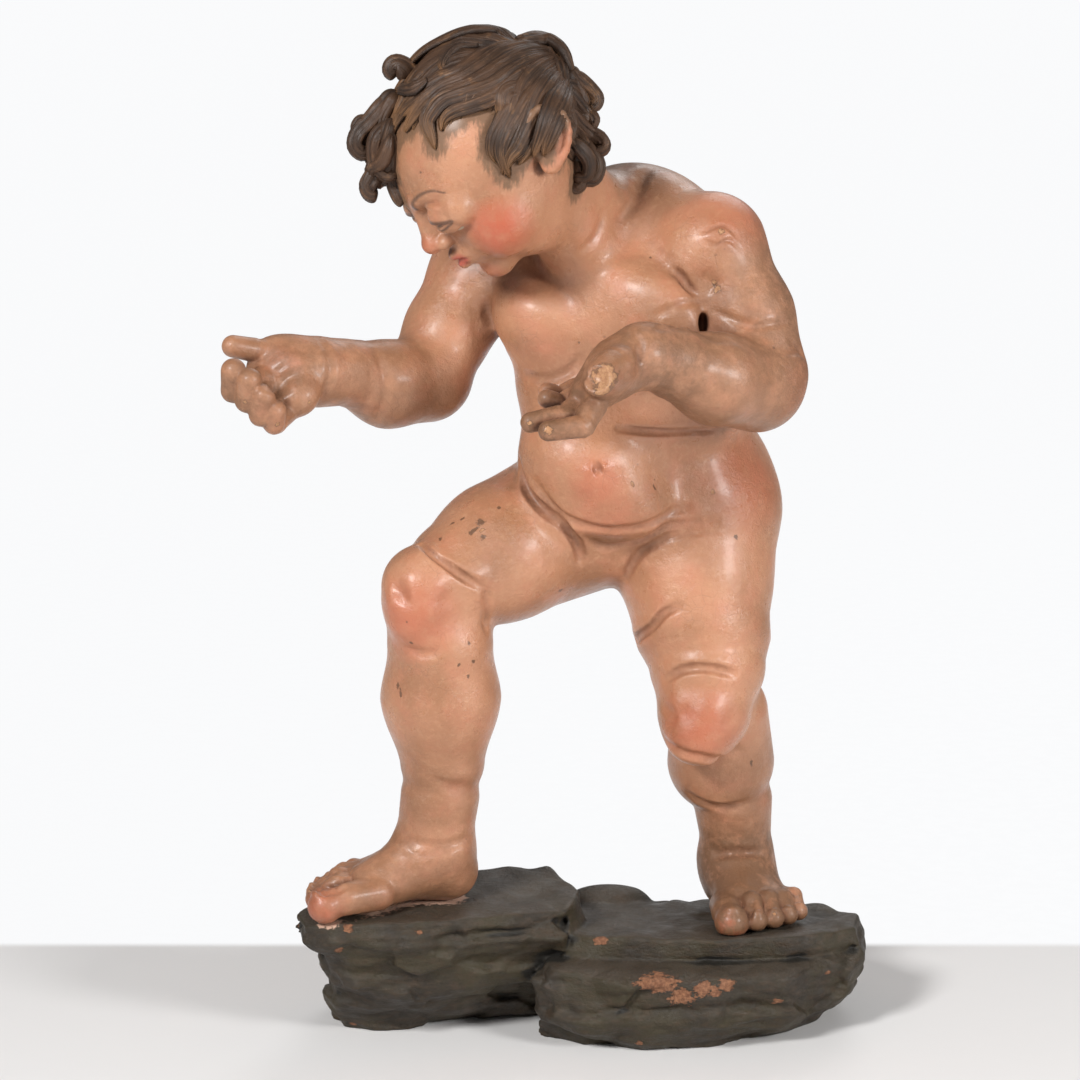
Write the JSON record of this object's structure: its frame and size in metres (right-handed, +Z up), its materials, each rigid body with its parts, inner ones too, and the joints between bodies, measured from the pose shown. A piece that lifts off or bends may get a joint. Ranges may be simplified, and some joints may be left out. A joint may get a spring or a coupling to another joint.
{
  "type": "terracotta cupid figure",
  "caption": "Painted terracotta statuette of a curly-haired nude child stepping up on a flat-topped rock base, hands held out.",
  "frame": {"origin": "on the flat underside of the rock base, below the middle of the figure", "axes": "+Z up, +X to the viewer's right in the picture, +Y away from the viewer"},
  "size_m": [0.2466, 0.1648, 0.3913],
  "materials": {
    "painted_flesh": "aged glossy flesh paint on terracotta",
    "painted_rock": "worn satin dark paint on terracotta"
  },
  "bodies": {
    "root": {"cupid_figure": "painted_flesh", "rock_base": "painted_rock"}
  },
  "joints": []
}
